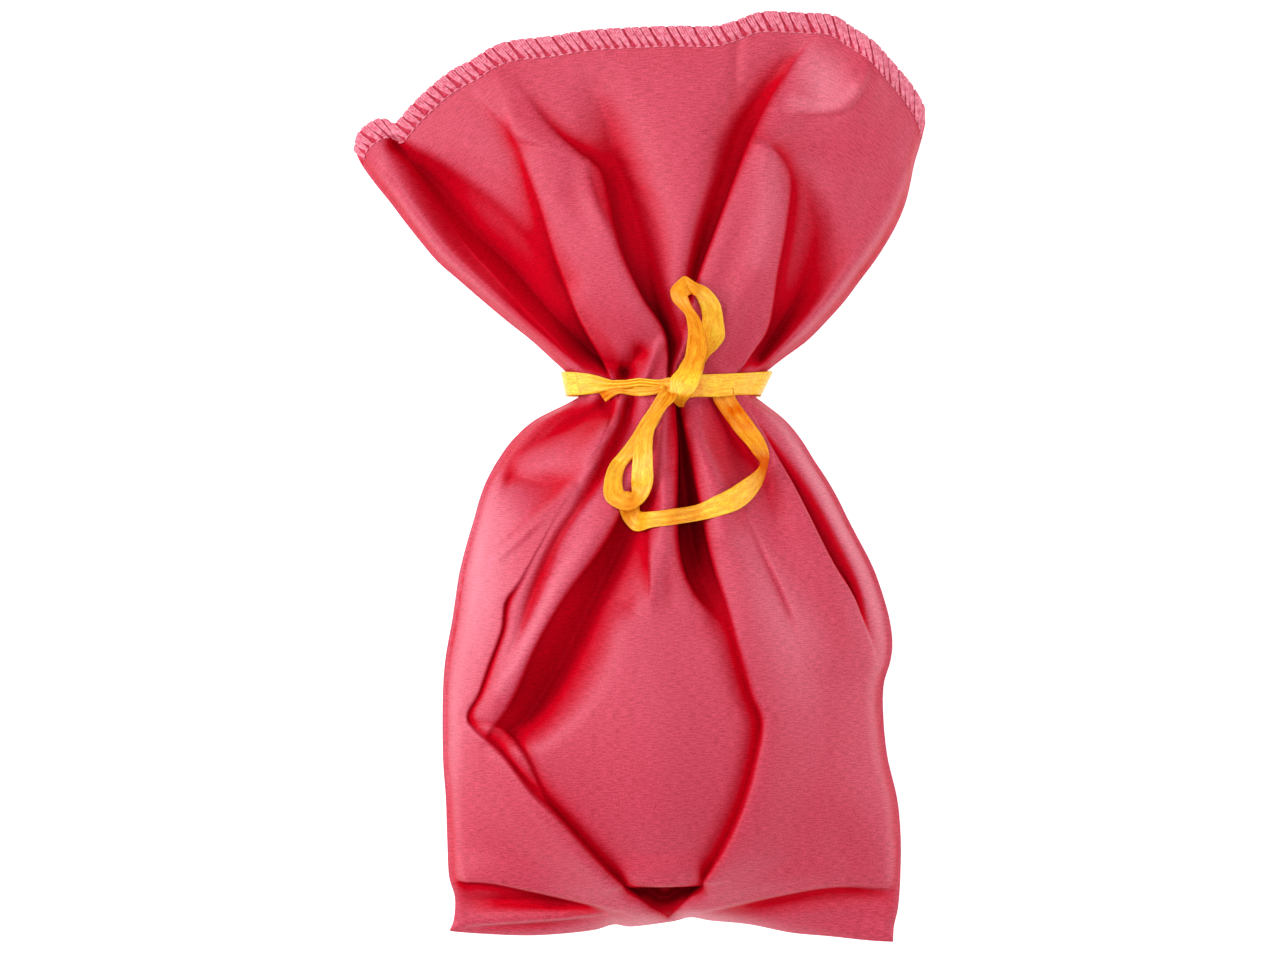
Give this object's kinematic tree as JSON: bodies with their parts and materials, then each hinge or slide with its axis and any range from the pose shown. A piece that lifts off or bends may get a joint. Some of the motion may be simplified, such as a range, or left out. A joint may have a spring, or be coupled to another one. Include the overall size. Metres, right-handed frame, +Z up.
{
  "type": "wine gift bag",
  "caption": "Gathered satin gift pouch for a wine bottle, lying on its back with a fanned, overlocked mouth, tied at the neck with a satin ribbon bow.",
  "frame": {"origin": "middle of the bounding box, on the table the pouch lies on", "axes": "+X to the right seen from above, +Y from the bottom seam to the mouth, +Z up off the table, out of the pouch's front"},
  "size_m": [0.22, 0.3588, 0.0556],
  "materials": {
    "bag_fabric": "satin weave, soft sheen",
    "overlock_thread": "matt overlock thread over satin",
    "ribbon_satin": "double-faced satin ribbon, glossy"
  },
  "bodies": {
    "pouch": {"front_panel": "bag_fabric", "back_panel": "bag_fabric", "front_mouth_overlock": "overlock_thread", "back_mouth_overlock": "overlock_thread", "left_side_seam": "overlock_thread", "right_side_seam": "overlock_thread", "bottom_seam": "overlock_thread", "ribbon_neck_band": "ribbon_satin", "ribbon_knot": "ribbon_satin"},
    "upper_loop": {"ribbon_upper_loop": "ribbon_satin"},
    "lower_bow": {"ribbon_lower_loop": "ribbon_satin", "ribbon_long_tail": "ribbon_satin"},
    "short_tail": {"ribbon_short_tail": "ribbon_satin"}
  },
  "joints": [
    {"name": "upper_loop_lift", "type": "hinge", "parent": "pouch", "child": "upper_loop", "pos_m": [0.017, 0.04118, 0.031], "axis": [1, 0, 0], "range_deg": [0, 60]},
    {"name": "lower_bow_lift", "type": "hinge", "parent": "pouch", "child": "lower_bow", "pos_m": [0.017, 0.03198, 0.031], "axis": [-1, 0, 0], "range_deg": [0, 60]},
    {"name": "short_tail_lift", "type": "hinge", "parent": "pouch", "child": "short_tail", "pos_m": [0.0088, 0.03708, 0.031], "axis": [0, 1, 0], "range_deg": [0, 60]}
  ]
}
